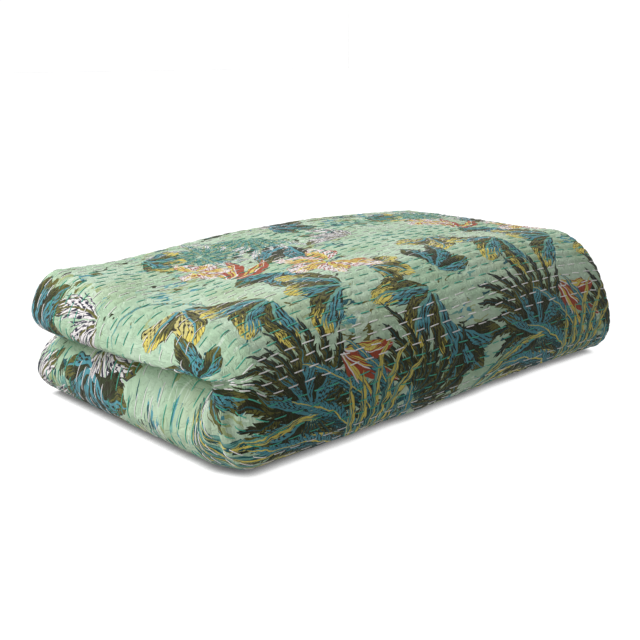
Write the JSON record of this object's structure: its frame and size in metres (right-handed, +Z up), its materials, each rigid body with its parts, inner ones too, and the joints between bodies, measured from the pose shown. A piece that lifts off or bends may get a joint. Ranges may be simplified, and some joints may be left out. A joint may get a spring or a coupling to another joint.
{
  "type": "folded kantha quilt",
  "caption": "Printed cotton kantha quilt with rows of running stitch, folded in half again and again into a flat stack that lies on its base.",
  "frame": {"origin": "on the floor, under the middle of the folded stack's box", "axes": "+X along the stitched rows, the stack's long way; -Y towards the front, round which the last fold turns; +Z up"},
  "size_m": [0.595, 0.3434, 0.1492],
  "materials": {
    "quilted_cotton": "matte",
    "white_thread": "matte",
    "teal_thread": "matte"
  },
  "bodies": {
    "root": {"quilt": "quilted_cotton"}
  },
  "joints": []
}
